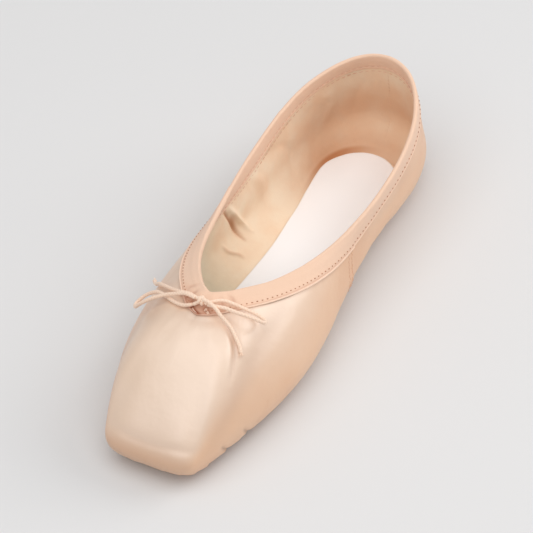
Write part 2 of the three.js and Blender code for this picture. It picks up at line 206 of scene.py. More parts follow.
def ribLines(place):
    side, at = unwrap(place)
    values = ribValues(at).T
    widestAt, half, _, _, foot, lift, rimAt, rim, rimUp, shoulder, shoulderUp, crest, crestUp = values
    peak = np.where(at < shoe["peakPlace"], shoe["throatHeight"], shoe["heelHeight"])
    widest = np.stack([side * half, seam["step"] + (heelBack - seam["step"]) * widestAt], -1)
    under = soleOutline(place)
    margin = soleOutline(place, shoe["marginLap"])
    turn = widest + (under - widest) * foot[:, None]
    collarLength = heelBack - shoe["throatFromToe"]
    collar = np.stack([side * rim, shoe["throatFromToe"] + rimAt * collarLength], -1)
    collarZ = shoe["sideHeight"] + rimUp * (peak - shoe["sideHeight"])
    girth = shoe["girthHeight"]

    def point(plan, z):
        return np.stack([plan[:, 0], plan[:, 1] - shoe["length"] / 2, z + 0 * plan[:, 0]], -1)

    def toCollar(share, up):
        return point(widest + (collar - widest) * share[:, None], girth + up * (collarZ - girth))

    return np.stack([
        point(margin, soleTop + soleRise(margin[:, 1])),
        point(under, soleTop + soleRise(under[:, 1])),
        point(turn, soleTop + soleRise(turn[:, 1]) + lift),
        point(widest, girth),
        toCollar(shoulder, shoulderUp),
        toCollar(crest, crestUp),
        point(collar, collarZ),
    ], 1)


def softenRound(values, sigma):  # blurs round the shoe, by a number of rows
    waves = np.fft.rfftfreq(len(values)) * sigma
    blur = np.exp(-2 * (math.pi * waves) ** 2).reshape((-1,) + (1,) * (values.ndim - 1))
    return np.fft.irfft(np.fft.rfft(values, axis=0) * blur, len(values), axis=0)


def softenDown(values, sigma):  # blurs along each rib, and leaves both ends where they are
    reach = int(4 * sigma)
    kernel = np.exp(-0.5 * (np.arange(-reach, reach + 1) / sigma) ** 2)
    kernel /= kernel.sum()
    start = 2 * values[:, :1] - values[:, reach:0:-1]
    end = 2 * values[:, -1:] - values[:, -2:-reach - 2:-1]
    padded = np.concatenate([start, values, end], 1)
    return sum(w * padded[:, k:k + values.shape[1]] for k, w in enumerate(kernel))


def curveThrough(points, at):  # a centripetal curve through points[:, k], at numbers from 0 to the last k
    first = 2 * points[:, :1] - points[:, 1:2]
    past = 2 * points[:, -1:] - points[:, -2:-1]
    row = np.concatenate([first, points, past], 1)
    spans = np.sqrt(np.linalg.norm(np.diff(row, axis=1), axis=2))
    made = []
    for x in at:
        k = min(int(x), points.shape[1] - 2)
        f = x - k
        a, b, c, d = (row[:, k + step] for step in range(4))
        before, here, after = (np.maximum(spans[:, k + step, None], 1e-6) for step in range(3))
        leave = ((b - a) / before - (c - a) / (before + here) + (c - b) / here) * here
        reach = ((c - b) / here - (d - b) / (here + after) + (d - c) / after) * here
        bend = 3 * (c - b) - 2 * leave - reach + f * (2 * (b - c) + leave + reach)
        made.append(b + f * (leave + f * bend))
    return np.stack(made, 1)


# the last's surface as a fine grid: columns run down from the collar to the sole line, evenly on every rib
skinGrid = {"around": 960, "down": 241, "rawDown": 401, "softRound": 9, "softDown": 5}


class Skin:
    def __init__(self):
        n, m = skinGrid["around"], skinGrid["down"]
        self.places = np.arange(n) * aroundAll / n
        lines = softenRound(ribLines(self.places), skinGrid["softRound"])
        self.margin = lines[:, 0]
        levels = np.linspace(5, 0, skinGrid["rawDown"])
        even = []
        for line in curveThrough(lines[:, 1:], levels):
            far = walkAlong(line)
            even.append(readAt(np.linspace(0, 1, m) * far[-1], far, np.column_stack([line, levels + 1])))
        even = softenDown(np.stack(even), skinGrid["softDown"])
        surface = even[..., :3]
        around = np.roll(surface, -1, 0) - np.roll(surface, 1, 0)
        normal = unit(np.cross(around, -np.gradient(surface, axis=1)))
        self.grid = np.concatenate([even, normal], 2)
        self.depth = np.linalg.norm(np.diff(surface, axis=1), axis=2).sum(1)
        self.girth, self.rim = (walkAlong(surface[[*range(n), 0], column]) for column in (m // 2, 0))

    def rowAt(self, place):
        return np.mod(place, aroundAll) / aroundAll * len(self.places)

    def depthAt(self, place):  # millimetres from the collar down to the sole line
        closed = np.append(self.depth, self.depth[0])
        return np.interp(self.rowAt(place), np.arange(len(closed)), closed)

    def roundAt(self, place):  # millimetres round the shoe at half height
        turns = np.floor(place / aroundAll)
        at = (place / aroundAll - turns) * len(self.places)
        return np.interp(at, np.arange(len(self.girth)), self.girth) + turns * self.girth[-1]

    def rimAt(self, place):  # millimetres from the throat round the collar, to either side
        walked = np.interp(self.rowAt(place), np.arange(len(self.rim)), self.rim)
        return np.where(walked > 0.5 * self.rim[-1], walked - self.rim[-1], walked)

    def at(self, place, down):  # points, normals and levels
        place, down = np.broadcast_arrays(np.asarray(place, float), np.asarray(down, float))
        n, m = self.grid.shape[:2]
        row = self.rowAt(place)
        column = np.clip(down / self.depthAt(place), 0, 1) * (m - 1)
        i, j = np.floor(row).astype(int), np.minimum(np.floor(column).astype(int), m - 2)

        def weights(f):
            return [
                0.5 * f * (f * (2 - f) - 1), 0.5 * (f * f * (3 * f - 5) + 2),
                0.5 * f * (f * (4 - 3 * f) + 1), 0.5 * f * f * (f - 1),
            ]

        total = 0
        for a, wide in enumerate(weights(row - i), -1):
            for b, high in enumerate(weights(column - j), -1):
                near = self.grid[(i + a) % n, np.clip(j + b, 0, m - 1)]
                total = total + near * (wide * high)[..., None]
        return total[..., :3], unit(total[..., 4:7]), total[..., 3]


skin = Skin()
print("last made: walls from", round(skin.depth.min(), 1), "to", round(skin.depth.max(), 1), "mm high")


# soft troughs and ridges, listed: (place, down) along each, height and half width in mm, how dark, and both
# where the other half of the shoe has it too
# each crease's dark number is painted shade laid along it
creases = {
    "satin": [
        ([(2.6, 13), (3.1, 20), (3.4, 26), (3.54, 32), (3.56, 38), (3.5, 44)], -0.9, 1.7, 0.45),
        ([(3.2, 13), (3.75, 22), (4.0, 31), (3.95, 40), (3.8, 50)], 0.4, 5.5, 0, "both"),
        ([(3.3, 36), (3.44, 45), (3.34, 53.5), (3.09, 64), (2.85, 71)], 0.5, 4.5, 0, "both"),
        ([(5.5, 11), (5.2, 16), (4.75, 25), (4.3, 35), (3.9, 45), (3.6, 54), (3.2, 63), (2.8, 71)],
         -0.85, 6.0, 0.42, "both"),
        ([(6.9, 10), (6.2, 15), (5.4, 26), (4.7, 40), (4.1, 54)], 0.4, 6, 0, "both"),
        ([(24.6, 13), (25.4, 18), (26.2, 25), (26.6, 34)], -0.5, 6, 0.4),
        ([(-1.5, 70.8), (-0.5, 69.6), (0.7, 69.6), (2.0, 71)], -0.45, 1.5, 0.16),
        ([(-2.1, 71.5), (-0.7, 70), (0.7, 70), (2.1, 71.5)], -0.5, 3.4, 0.05),
        ([(-2.6, 16), (-1, 14.4), (1, 14.4), (2.6, 14.8)], -0.2, 2.0, 0.12),
        ([(-0.4, 14), (-0.3, 24), (0.2, 34)], 0.25, 5, 0),
        ([(1.2, 14), (1.6, 20), (2.0, 27)], 0.3, 2.6, 0),
        ([(28.6, 14), (28.2, 20), (28.0, 27)], 0.3, 2.6, 0),
        ([(3.25, 74), (3.38, 79.5), (3.5, 85)], -0.9, 0.8, 1),
        ([(4.0, 67), (4.12, 71.8), (4.25, 77)], -0.9, 0.8, 1),
    ],
    "lining": [
        ([(21.8, 7), (21.6, 12), (21.36, 19.3), (21.22, 27), (21.19, 34)], -1.1, 0.8, 1),
        ([(21.42, 15), (21.26, 22), (21.19, 31)], -0.5, 1.5, 0.9),
        ([(21.55, 9), (21.27, 16), (21.02, 25), (20.95, 33)], 1.9, 1.3, 0),
        ([(21.65, 29), (21.62, 33), (21.52, 37), (21.5, 40)], 0.9, 0.8, 0.4),
        ([(9.2, 12), (9.6, 22), (9.9, 31)], 0.9, 2.6, 0.3),
        ([(20.5, 9), (20.2, 18), (20.3, 30)], 0.7, 2.4, 0.1),
        ([(19.8, 8), (19.2, 16), (18.9, 27), (19.1, 38)], -0.8, 2.8, 0.16),
        ([(17.6, 10), (17.2, 20), (17.5, 33)], 0.8, 3.2, 0.08),
        ([(16.6, 9), (16.2, 18), (16.4, 30)], -0.6, 2.4, 0.14),
        ([(18.6, 20), (18.2, 30), (18.3, 40)], 0.5, 4, 0),
        ([(12.2, 16), (12.4, 27), (12.1, 38)], 0.5, 3.5, 0),
        ([(14.95, 7.5), (14.97, 20), (14.98, 35), (15, 50)], 0.35, 0.5, 0.6),
    ],
    "binding": [
        ([(0.15, 6.0), (0.5, 8.6), (1.0, 10.2)], -1.0, 0.75, 1),
        ([(28.6, 8.6), (29.4, 10.2), (30.2, 11.2)], -0.6, 0.6, 0.9),
        ([(1.2, 5.6), (1.6, 7.6), (2.2, 9.3)], 0.55, 1.3, 0),
        ([(29.0, 6.4), (29.7, 8.6), (30.2, 9.6)], 0.5, 1.2, 0),
        ([(28.3, 3), (28.0, 6), (27.7, 9)], -0.35, 0.9, 0.4, "both"),
        ([(27.6, 2), (27.2, 5), (26.9, 8)], -0.25, 0.9, 0.3, "both"),
    ],
}


def relief(points, group):  # how far the creases lift each point, and how much painted shade they lay on it
    flat = points.reshape(-1, 3)
    lift, shade = np.zeros(len(flat)), np.zeros(len(flat))
    steps = 48
    taper = np.sqrt(np.sin(math.pi * np.linspace(0.03, 0.97, steps)))
    for line, height, width, dark, *both in creases[group]:
        smooth = curveThrough(np.array(line, float)[None], np.linspace(0, len(line) - 1, steps))[0]
        route = skin.at(*smooth.T)[0]
        for side in (1, -1) if both else (1,):
            spots = route * (side, 1, 1)
            close = np.all((flat > spots.min(0) - 3 * width) & (flat < spots.max(0) + 3 * width), axis=1)
            away = np.linalg.norm(flat[close][:, None] - spots[None], axis=2)
            nearest = away.argmin(1)
            bell = np.exp(-(away.min(1) / width) ** 2) * taper[nearest]
            lift[close] += height * bell
            shade[close] = np.maximum(shade[close], dark * bell)
    return lift.reshape(points.shape[:-1]), shade.reshape(points.shape[:-1])


# a finish is one principled material; Wire lets its node sockets be used in sums
class Wire:
    def __init__(self, finish, socket):
        self.finish, self.socket = finish, socket

    def sum(self, operation, other):
        return self.finish.node("ShaderNodeMath", {"operation": operation}, {0: self, 1: other})

    def __add__(self, other):
        return self.sum("ADD", other)

    def __sub__(self, other):
        return self.sum("SUBTRACT", other)

    def __mul__(self, other):
        return self.sum("MULTIPLY", other)

    __radd__ = __add__


class Finish:
    def __init__(self, name, specular, sheen=0, **fixed):
        self.material = bpy.data.materials.new(name)
        self.material.use_nodes = True
        self.nodes = self.material.node_tree.nodes
        self.shader = self.nodes["Principled BSDF"]
        for socket, value in {"Specular IOR Level": specular, "Sheen Weight": sheen, **fixed}.items():
            self.shader.inputs[socket].default_value = value

    def node(self, kind, settings, inputs, output=None):
        made = self.nodes.new(kind)
        for name, value in settings.items():
            setattr(made, name, value)
        for key, value in inputs.items():
            socket = made.inputs[key] if isinstance(key, int) else next(
                s for s in made.inputs if s.enabled and s.name == key)
            if isinstance(value, Wire):
                self.material.node_tree.links.new(value.socket, socket)
            else:
                socket.default_value = value
        socket = next(s for s in made.outputs if s.enabled and output in (None, s.name))
        return Wire(self, socket)

    def dress(self, tone, roughness, normal):
        for name, wire in {"Base Color": tone, "Roughness": roughness, "Normal": normal}.items():
            self.material.node_tree.links.new(wire.socket, self.shader.inputs[name])
        return self.material

    def blend(self, tone, *layers):  # a layer is a colour and its mask; colours are wires or screen numbers
        for colour, mask in layers:
            tone, colour = (paint(*c) if isinstance(c, tuple) else c for c in (tone, colour))
            tone = self.node("ShaderNodeMix", {"data_type": "RGBA"}, {"Factor": mask, "A": tone, "B": colour})
        return tone

    def scaled(self, where, *stretch):  # metres to millimetres, and stretched along each axis
        scale = [1000 * share for share in stretch]
        return self.node("ShaderNodeVectorMath", {"operation": "MULTIPLY"}, {0: where, 1: scale})

    def clothMap(self, x=1, y=1):  # round and down the surface
        return self.scaled(self.node("ShaderNodeUVMap", {"uv_map": "cloth"}, {}), x, y, 0)

    def noise(self, where, scale, detail, rough=0.5):
        inputs = {"Vector": where, "Scale": scale, "Detail": detail, "Roughness": rough}
        return self.node("ShaderNodeTexNoise", {}, inputs, "Fac")

    def slub(self, x, y, detail=2):  # uneven threads
        return self.noise(self.clothMap(x, y), 1, detail)

    def cloud(self, scale, detail, rough=0.5):
        place = self.node("ShaderNodeTexCoord", {}, {}, "Object")
        return self.noise(self.scaled(place, 1, 1, 1), scale, detail, rough)

    def patches(self, scale, detail):
        return self.between(self.cloud(scale, detail), 0.3, 0.7)

    def ribs(self, axis, scale):
        settings = {"wave_type": "BANDS", "bands_direction": axis, "wave_profile": "SIN"}
        return self.node("ShaderNodeTexWave", settings, {"Vector": self.clothMap(), "Scale": scale}, "Fac")

    def weave(self, scale):
        return self.ribs("X", scale) * self.ribs("Y", scale)

    def mark(self, name):  # a number painted on the mesh, such as how much painted shade lies in a fold
        return self.node("ShaderNodeAttribute", {"attribute_name": name}, {}, "Fac")

    def between(self, wire, low, high):
        settings = {"interpolation_type": "SMOOTHSTEP"}
        return self.node("ShaderNodeMapRange", settings, {"Value": wire, "From Min": low, "From Max": high})

    def bump(self, height, distance, strength, over=None):
        inputs = {"Height": height, "Distance": distance / 1000, "Strength": strength}
        if over:
            inputs["Normal"] = over
        return self.node("ShaderNodeBump", {}, inputs, "Normal")


def paint(red, green, blue):  # a colour by its screen numbers
    def linear(v):
        v /= 255
        return v / 12.92 if v <= 0.04045 else ((v + 0.055) / 1.055) ** 2.4

    return (linear(red), linear(green), linear(blue), 1)


def satinFinish():
    finish = Finish("shell satin", 0.85, 0.1, **{"Sheen Roughness": 0.35, "IOR": 1.7})
    patches, threads, foldShade = finish.patches(0.03, 2), finish.slub(0.12, 5), finish.mark("foldShade")
    # the deeper tone is the satin as it looks in shade; the paler tone is a lit copy, laid on as painted
    # sheen where the vamp faces up
    shadedTone = finish.blend((227, 174, 131), ((233, 187, 148), patches))
    paintedSheen = finish.blend((231, 203, 179), ((236, 209, 187), patches))
    # the brown tone is painted shade in pleats and creases, just under the binding and on the toe's front
    tone = finish.blend(
        shadedTone, (paintedSheen, finish.mark("paintedSheen")), ((174, 128, 96), foldShade * 0.75), ((246, 218, 194), threads * 0.15))
    height = threads + finish.weave(1.6) * 0.3
    normal = finish.bump(height, 0.03, 0.35, finish.bump(finish.cloud(0.09, 3), 1.1, 0.3))
    return finish.dress(tone, 0.31 + threads * 0.1 + foldShade * 0.08, normal)


def liningFinish():
    finish = Finish("lining cotton", 0.25, 0.1)
    patches, slub, foldShade = finish.patches(0.05, 3), finish.slub(3, 0.5), finish.mark("foldShade")
    quarter = finish.blend((250, 220, 190), ((255, 238, 214), patches))
    vamp = finish.blend((218, 210, 188), ((230, 223, 202), patches))
    # the brown tone is painted shade in the lining's folds, low down by the insole and in the heel
    tone = finish.blend(
        quarter, (vamp, finish.mark("vamp")), ((206, 172, 136), slub * 0.18), ((188, 120, 72), foldShade * 0.85))
    height = finish.weave(0.9) * 0.6 + slub
    normal = finish.bump(height, 0.12, 0.5, finish.bump(finish.cloud(0.12, 3), 1.2, 0.4))
    return finish.dress(tone, 0.86 + slub * 0.08, normal)


def bindingFinish():
    finish = Finish("binding tape", 0.3, 0.15)
    slub, roll, foldShade = finish.slub(0.6, 4, 3), finish.mark("roll"), finish.mark("foldShade")
    # the pale tone is a painted highlight along the rolled lower edge; the brown tone is painted shade in
    # creases, the stitch groove and the drawn-in throat
    tone = finish.blend(
        (239, 200, 172), ((246, 212, 188), slub), ((252, 222, 200), roll * 0.7), ((168, 88, 50), foldShade * 0.9))
    height = finish.ribs("X", 1.4) + slub
    normal = finish.bump(height, 0.06, 0.45, finish.bump(finish.cloud(0.25, 3), 0.5, 0.4))
    return finish.dress(tone, 0.74 + slub * 0.1 - roll * 0.2, normal)


def tapeFinish():
    finish = Finish("back tape", 0.45, 0.1)
    slub, foldShade = finish.slub(4, 0.5), finish.mark("foldShade")
    # the darker tone is painted shade along the stitched grooves
    tone = finish.blend((238, 196, 162), ((243, 206, 176), slub), ((205, 158, 128), foldShade * 0.6))
    return finish.dress(tone, 0.5 + slub * 0.12, finish.bump(finish.ribs("Y", 1.5) + slub, 0.06, 0.4))


def cordFinish():
    finish = Finish("drawstring cotton", 0.3, 0.2)
    fluff, foldShade = finish.cloud(1.2, 3), finish.mark("foldShade")
    # the darker tone is painted shade between the braid's strands
    tone = finish.blend((246, 216, 192), ((252, 228, 208), fluff), ((224, 170, 134), foldShade * 0.3))
    return finish.dress(tone, 0.62 + fluff * 0.12, finish.bump(fluff, 0.08, 0.4))


def threadFinish(name, first, second):
    finish = Finish(name, 0.4)
    twist = finish.cloud(2.5, 2)
    tone = finish.blend(first, (second, twist))
    return finish.dress(tone, 0.45 + twist * 0.15, finish.bump(twist, 0.05, 0.4))


def leatherFinish():
    finish = Finish("sole leather", 0.35)
    nap, edge = finish.cloud(1.1, 5, 0.65), finish.mark("edge")
    tone = finish.blend(
        (176, 134, 100), ((188, 148, 114), finish.patches(0.035, 4)),
        ((150, 108, 76), finish.between(nap, 0.45, 0.75) * 0.5), ((120, 80, 54), edge))
    return finish.dress(tone, 0.62 + nap * 0.15 - edge * 0.18, finish.bump(nap, 0.12, 0.45))


def boardFinish():
    finish = Finish("insole board", 0.3)
    fibre, cloud, edge = finish.cloud(0.9, 4, 0.6), finish.cloud(0.03, 3), finish.mark("edge")
    tone = finish.blend((249, 248, 249), ((253, 252, 254), cloud), ((232, 214, 198), edge * 0.6))
    return finish.dress(tone, 0.78 + fibre * 0.12, finish.bump(fibre, 0.08, 0.3))


finishes = {
    "satin": satinFinish(), "lining": liningFinish(), "binding": bindingFinish(), "tape": tapeFinish(),
    "cord": cordFinish(), "leather": leatherFinish(), "board": boardFinish(),
    "thread": threadFinish("sewing thread", (218, 166, 136), (238, 200, 176)),
    # the darker thread's colour is painted shade, for the pinholes where the stitches sink into the binding
    "shaded sunk thread": threadFinish("shaded sunk thread", (168, 108, 78), (206, 152, 120)),
}
print("finishes mixed:", len(finishes))


# pieces are grids of points in millimetres, rows round the shoe and columns across the piece
def addPiece(name, points, faces, slot, cloth=None, marks=None, stands=(), finish=None):
    mesh = bpy.data.meshes.new(name)
    mesh.from_pydata((np.asarray(points) / 1000).tolist(), [], [list(map(int, face)) for face in faces])
    mesh.polygons.foreach_set("use_smooth", [True] * len(mesh.polygons))
    if cloth is not None:
        corners = np.empty(len(mesh.loops), dtype=np.int32)
        mesh.loops.foreach_get("vertex_index", corners)
        layer = mesh.uv_layers.new(name="cloth")
        layer.data.foreach_set("uv", (np.asarray(cloth)[corners] / 1000).astype(np.float32).ravel())
    for mark, values in (marks or {}).items():
        field = mesh.attributes.new(mark, "FLOAT", "POINT")
        field.data.foreach_set("value", np.asarray(values, dtype=np.float32).ravel())
    mesh.materials.append(finishes[finish or slot])
    piece = bpy.data.objects.new(name, mesh)
    scene.collection.objects.link(piece)
    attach(piece, "root")
    if stands:
        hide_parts(*stands)
    return piece


def gridFaces(rows, columns, closed, turned=False):
    i = np.arange(rows if closed else rows - 1)[:, None]
    j = np.arange(columns - 1)[None]
    a, b = i * columns + j, (i + 1) % rows * columns + j
    quads = np.stack([a, a + 1, b + 1, b], -1).reshape(-1, 4)
    return quads[:, ::-1] if turned else quads


def addGrid(name, grid, slot, cloth, marks, stands, closed=True, turned=False):
    faces = gridFaces(*grid.shape[:2], closed, turned)
    addPiece(name, grid.reshape(-1, 3), faces, slot, cloth.reshape(-1, 2), marks, stands)


def widen(mark, grid, mode="constant"):  # carries a mark over the grid's last columns
    return np.pad(mark, ((0, 0), (0, grid.shape[1] - mark.shape[1])), mode)


def ringFaces(rings, sides):  # the wall between rings of points
    a = np.arange(sides)
    b = (a + 1) % sides
    wall = np.stack([a, b, b + sides, a + sides], -1)
    return (wall + sides * np.arange(rings - 1)[:, None, None]).reshape(-1, 4).tolist()


def joinParts(parts):  # each part is its points, its faces, and any values of its points
    faces, count = [], 0
    for points, own, *_ in parts:
        faces += [[count + corner for corner in face] for face in own]
        count += len(points)
    points, _, *values = ([*column] for column in zip(*parts))
    return [np.concatenate(points), faces] + [np.concatenate(column) for column in values]


def placesRound(perRib, *close):  # even rows round the shoe, except where close rows are given
    even = np.arange(aroundAll * perRib) / perRib
    for rows in close:
        even = even[(even < rows[0] - 0.02) | (even > rows[-1] + 0.02)]
    return np.sort(np.concatenate([even, *close]))[:, None]


besideSeam = np.array([-0.08, -0.055, -0.035, -0.02, -0.01, 0, 0.01, 0.02, 0.035, 0.055, 0.08])
seamRows = (seam["place"] + besideSeam, aroundAll - seam["place"] + besideSeam)


def seamStep(place, level):  # the vamp lies over the quarter, with a rolled edge
    at = unwrap(place)[1]
    over = ease(seam["place"] + seam["width"] / 2 - at, 0, seam["width"])
    roll = hill(at, seam["place"] - 0.05, seam["rollWidth"]) * seam["roll"]
    drawn = 1 - seam["drawnIn"] * ease(level, 3, 6)
    return (seam["step"] * over + roll) * drawn * np.clip(level - 1, 0, 1)


# satin: one shell from the collar to the turned-under margin, with its pleats, ridges and puckers
satin = {
    "rowsPerRib": 21, "columns": 120, "pleatHeight": 0.9, "pleatsPerRib": 1.5, "pleatEnd": 5.3,
    "pleatTop": 2.35, "pleatRise": 0.82, "pleatWaver": 0.12, "throatReach": 15,
    "gathers": 0.07, "throatGathers": 0.17, "gatherLength": 2.7, "puckers": 0.2, "puckerLength": 3.3,
    "waves": 0.3, "waveLengths": (31, 26), "ripples": 0.5, "rippleLength": 9, "ripplesAt": 10.2,
    "shadeUnderBinding": 0.6, "shadeAtToe": 0.46,
    "under": [(0.15, 1), (0.5, 3), (1, 6)],  # share of the turned-under margin, and cloth used in mm
}


def pleats(place, level):
    at = unwrap(place)[1]
    share = np.clip((level - 1) / (satin["pleatTop"] - 1), 0, 1)
    turn = at * satin["pleatsPerRib"] + satin["pleatWaver"] * np.sin(at * 5.1)
    saw, rise = turn - np.floor(turn), satin["pleatRise"]
    wave = np.where(saw < rise, saw / rise, (1 - saw) / (1 - rise)) * 2 - 1
    fade = np.clip(satin["pleatEnd"] - at, 0, 1) * np.sin(math.pi * share) ** 1.2
    return 0.5 * satin["pleatHeight"] * wave * fade


def thinned(down):  # the layers are pressed thin at the collar
    return shoe["rimThinning"] * (1 - ease(down, shoe["thinFrom"], shoe["thinTo"]))


def bindingDepth(place):
    at = unwrap(place)[1]
    return np.interp(at, *zip(*shoe["bindingDepth"]))


def drape(places, down, level):  # gathers below the binding, puckers beside the side seam, slow waves
    rim, lap, at = skin.rimAt(places), skin.roundAt(places), unwrap(places)[1]
    atThroat = hill(rim, 0, satin["throatReach"])
    below = np.clip(down - bindingDepth(places), 0, 60)
    gathers = satin["gathers"] + satin["throatGathers"] * atThroat
    gathers = gathers * wander(rim, satin["gatherLength"], 11) * np.exp(-below / (4 + 6 * atThroat))
    puckers = satin["puckers"] * wander(down + 3 * np.sign(places - lastRib), satin["puckerLength"], 12)
    puckers = puckers * np.exp(-abs(skin.roundAt(at) - skin.roundAt(seam["place"])) / 6)
    first, second = satin["waveLengths"]
    waves = satin["waves"] * wander(lap + 0.6 * down, first, 13) * wander(down + 0 * places, second, 14)
    atSide = hill(at, satin["ripplesAt"], 2.6) * np.clip(level - 1, 0, 1) * (1 - ease(level, 2.4, 4))
    ripples = satin["ripples"] * wander(lap + 0.5 * down, satin["rippleLength"], 15) * atSide
    return (gathers + puckers) * ease(level, 1.6, 3) + waves * ease(level, 2, 3.4) + ripples


def turnUnder(piece, shell, places, down, raised=0):  # the shell's rows run on over the margin
    margin = readAt(places[:, 0], skin.places, skin.margin, aroundAll) + (0, 0, raised)
    under = [shell[:, -1] + (margin - shell[:, -1]) * share for share, _ in piece["under"]]
    cloth = np.stack([skin.roundAt(places) + 0 * down, down], -1)
    steps = [cloth[:, -1:] + (0, used) for _, used in piece["under"]]
    return np.concatenate([shell, np.stack(under, 1)], 1), np.concatenate([cloth] + steps, 1)


def makeSatin():
    places = placesRound(satin["rowsPerRib"], *seamRows)
    down = np.linspace(0, 1, satin["columns"]) * skin.depthAt(places)
    points, normals, level = skin.at(places, down)
    lift, shade = relief(points, "satin")
    folds = pleats(places, level)
    rise = seamStep(places, level) + folds + lift - thinned(down) + drape(places, down, level)
    grid, cloth = turnUnder(satin, points + normals * rise[..., None], places, down)
    # painted shade: a shadow just below the binding, the toe's front where it faces forward, the pleats'
    # troughs and the creases' darkness; then painted sheen, paler where the vamp faces up
    below = satin["shadeUnderBinding"] * hill(down - bindingDepth(places), 0.2, 0.9)
    front = satin["shadeAtToe"] * ease(-normals[..., 1], 0.45, 0.97) * ease(4.6 - level, 0, 1.4)
    foldShade = np.clip(-folds * 1.6, 0, 1) + np.maximum(shade, np.maximum(below, front))
    paintedSheen = ease(normals[..., 2], 0.05, 0.7) * ease(11 - unwrap(places)[1], 0, 6)
    marks = {"foldShade": widen(foldShade, grid), "paintedSheen": widen(paintedSheen, grid)}
    addGrid("satin_shell", grid, "satin", cloth, marks, ["upper"])


makeSatin()
print("satin shell made")


# lining: the shell's inner face, with the soft folds of cotton that is only held at its edges
lining = {
    "rowsPerRib": 22, "columns": 100, "closeRows": (20.7, 22.2, 70), "waves": 0.2, "waveLength": 14,
    "vampEnd": 8.3, "heelShade": 0.42, "lowShade": 0.45, "sideShade": 0.5, "sideShadeAt": 17.3,
    "under": [(0.15, 1), (0.5, 3), (1, 6), (1.5, 9)],  # as in the satin
}


def makeLining():
    places = placesRound(lining["rowsPerRib"], np.linspace(*lining["closeRows"]))
    down = np.linspace(0, 1, lining["columns"]) * skin.depthAt(places)
    points, normals, level = skin.at(places, down)
    lift, shade = relief(points, "lining")
    waves = lining["waves"] * wander(down + 0.4 * skin.roundAt(places), lining["waveLength"], 21)
    into = shoe["wall"] - thinned(down) + lift + waves
    grid, cloth = turnUnder(lining, points - normals * into[..., None], places, down, shoe["wall"])
    at = unwrap(places)[1]
    # painted shade low down by the insole, at one side near the heel and up the heel, joined with the
    # creases' painted shade
    low = lining["lowShade"] * ease(2.7 - level, 0, 1.2)
    low += lining["sideShade"] * ease(1.5 - level, 0, 0.25) * hill(places, lining["sideShadeAt"], 1.8)
    shade = np.maximum(shade, ease(at, 9.5, 12.5) * (lining["heelShade"] * hill(down, 30, 18) + low))
    vamp = ease(lining["vampEnd"] + 0.4 * ease(down, 12, 36) - at, 0, 1.6)
    marks = {"foldShade": widen(shade, grid), "vamp": widen(vamp, grid, "edge")}
    addGrid("cotton_lining", grid, "lining", cloth, marks, ["upper"], turned=True)


makeLining()
print("lining made")


# binding: a folded tape over the collar, puffed where the drawstring runs in it
binding = {
    "rowsPerRib": 24, "topRise": 0.95, "topSteps": 9, "throatReach": 15,
    "wrinkles": (0.07, 0.05), "drawn": 0.32, "grooveShade": 0.25, "drawnShade": 0.5,
    "edge": [  # up from the lower edge, and out from the satin
        (0.0, 0.02), (-0.1, 0.2), (-0.12, 0.42), (0.0, 0.6), (0.25, 0.7), (0.55, 0.66), (0.8, 0.48),
        (0.98, 0.28), (1.15, 0.26), (1.35, 0.4), (1.7, 0.5), (2.2, 0.5), (2.9, 0.53),
    ],
    "channel": [  # down from the collar, and out from the satin
        (5.7, 0.54), (5.1, 0.56), (4.4, 0.62), (3.7, 0.7), (3.0, 0.76), (2.3, 0.74), (1.6, 0.68), (0.8, 0.6),
        (0, 0.55),
    ],
    "inside": [  # down from the collar, and in from the lining
        (0.0, 0.55), (0.8, 0.62), (1.6, 0.7), (2.4, 0.72), (3.2, 0.66), (4.0, 0.58), (4.9, 0.54), (5.3, 0.4),
        (5.65, 0.52), (6.1, 0.56), (6.6, 0.55), (6.95, 0.4), (7.05, 0.2), (7.0, 0.02),
    ],
}


def gather(places, down):  # the drawstring wrinkles its channel, most of all at the throat
    rim = skin.rimAt(places)
    first, second = binding["wrinkles"]
    small = first * wander(rim + 0.3 * down, 4.1, 31) + second * wander(rim - 0.5 * down, 9, 32)
    drawn = binding["drawn"] * hill(rim, 0, binding["throatReach"]) * wander(rim, 2.9, 33, 1)
    return (small + drawn) * ease(down, -2, 1.5) * (1 - 0.5 * ease(down, 6, 11))


